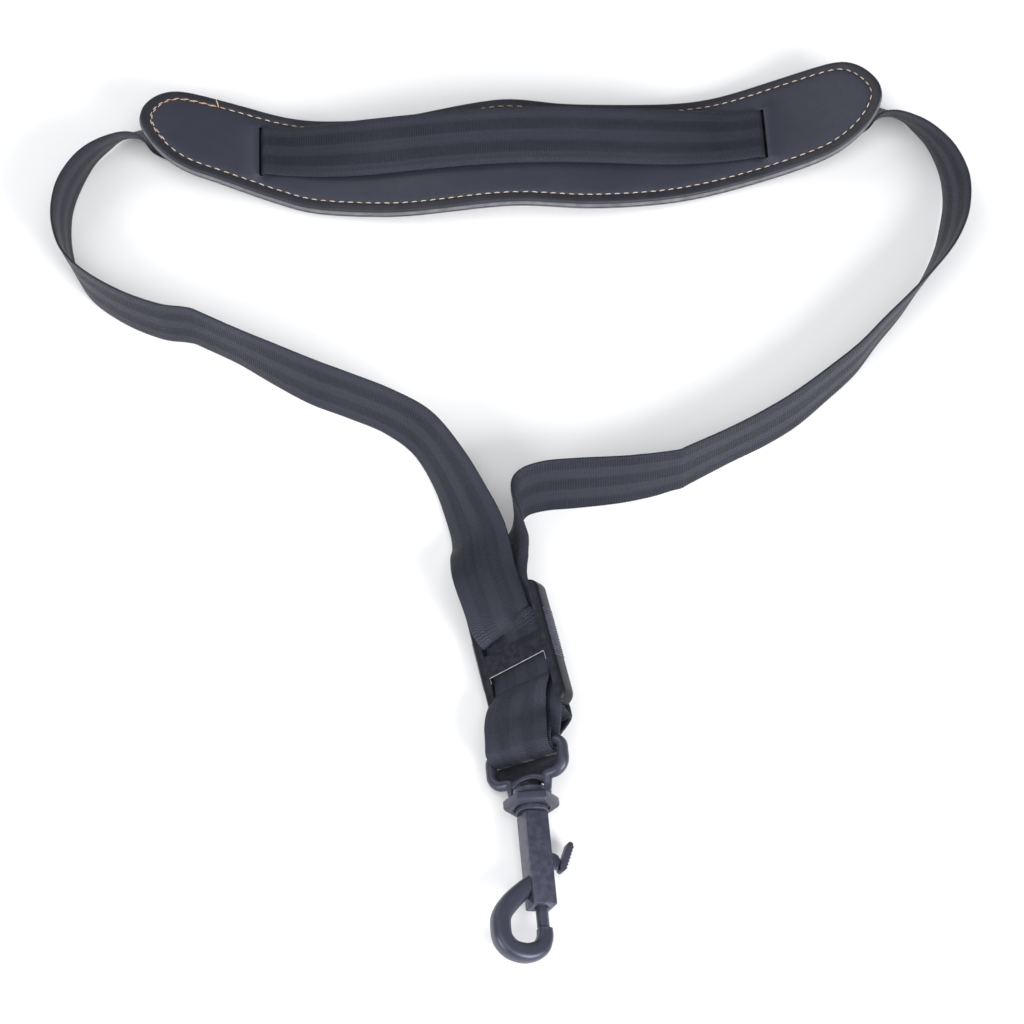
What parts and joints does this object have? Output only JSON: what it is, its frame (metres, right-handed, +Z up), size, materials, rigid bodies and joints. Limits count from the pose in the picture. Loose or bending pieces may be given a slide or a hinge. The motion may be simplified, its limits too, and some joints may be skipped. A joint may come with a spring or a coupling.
{
  "type": "saxophone neck strap",
  "caption": "Padded neck strap for a saxophone: flat webbing through an arched pad, a sliding length adjuster and a swivelling spring-bolt hook.",
  "frame": {"origin": "centre of the bounding box of the strap as it lies, at the height of the surface under it", "axes": "+Z up from the surface, -Y toward the hook's end, +Y toward the neck pad, +X to the right seen with the pad's leather face up"},
  "size_m": [0.3856, 0.4112, 0.0257],
  "materials": {
    "leather": "smooth matt black-blue face leather",
    "foam": "closed-cell foam",
    "lining": "grey brushed lining",
    "thread": "tan polyester stitching thread",
    "webbing": "woven nylon webbing with a soft sheen",
    "plastic": "black acetal with a fine satin texture",
    "steel": "spring steel wire"
  },
  "bodies": {
    "strap": {"pad_leather_face": "leather", "pad_foam_core": "foam", "pad_lining": "lining", "pad_stitch_thread": "thread", "webbing_pad_run": "webbing", "webbing_left_tail": "webbing", "webbing_left_turn": "webbing", "webbing_left_run": "webbing", "webbing_left_drop": "webbing", "webbing_right_tail": "webbing", "webbing_right_turn": "webbing", "webbing_right_run": "webbing", "webbing_right_drop": "webbing", "webbing_hook_loop": "webbing", "webbing_eye_end": "webbing"},
    "slider": {"slider": "plastic", "webbing_slider_end": "webbing"},
    "eye": {"swivel_eye": "plastic", "swivel_collar": "plastic"},
    "hook": {"hook_body": "plastic", "swivel_rivet": "plastic", "swivel_washer": "plastic", "bolt_spring": "steel"},
    "bolt": {"hook_bolt": "plastic", "thumb_lever": "plastic"}
  },
  "joints": [
    {"name": "slider_slide", "type": "slide", "parent": "strap", "child": "slider", "axis": [-0.225, 0.9744, 0], "range_m": [-0.001, 0.003]},
    {"name": "eye_pivot", "type": "hinge", "parent": "strap", "child": "eye", "pos_m": [0.00522, -0.12017, 0.01133], "axis": [0.8736, 0.0506, 0.484], "range_deg": [-32, 32]},
    {"name": "hook_swivel", "type": "hinge", "parent": "eye", "child": "hook", "pos_m": [0.0054, -0.12216, 0.01121], "axis": [-0.0905, 0.9941, 0.0593], "continuous": true},
    {"name": "bolt_slide", "type": "slide", "parent": "hook", "child": "bolt", "axis": [-0.0905, 0.9941, 0.0593], "range_m": [0, 0.008], "stiffness_N_per_m": 250, "springref_m": -0.004, "deforming": ["bolt_spring"]}
  ]
}
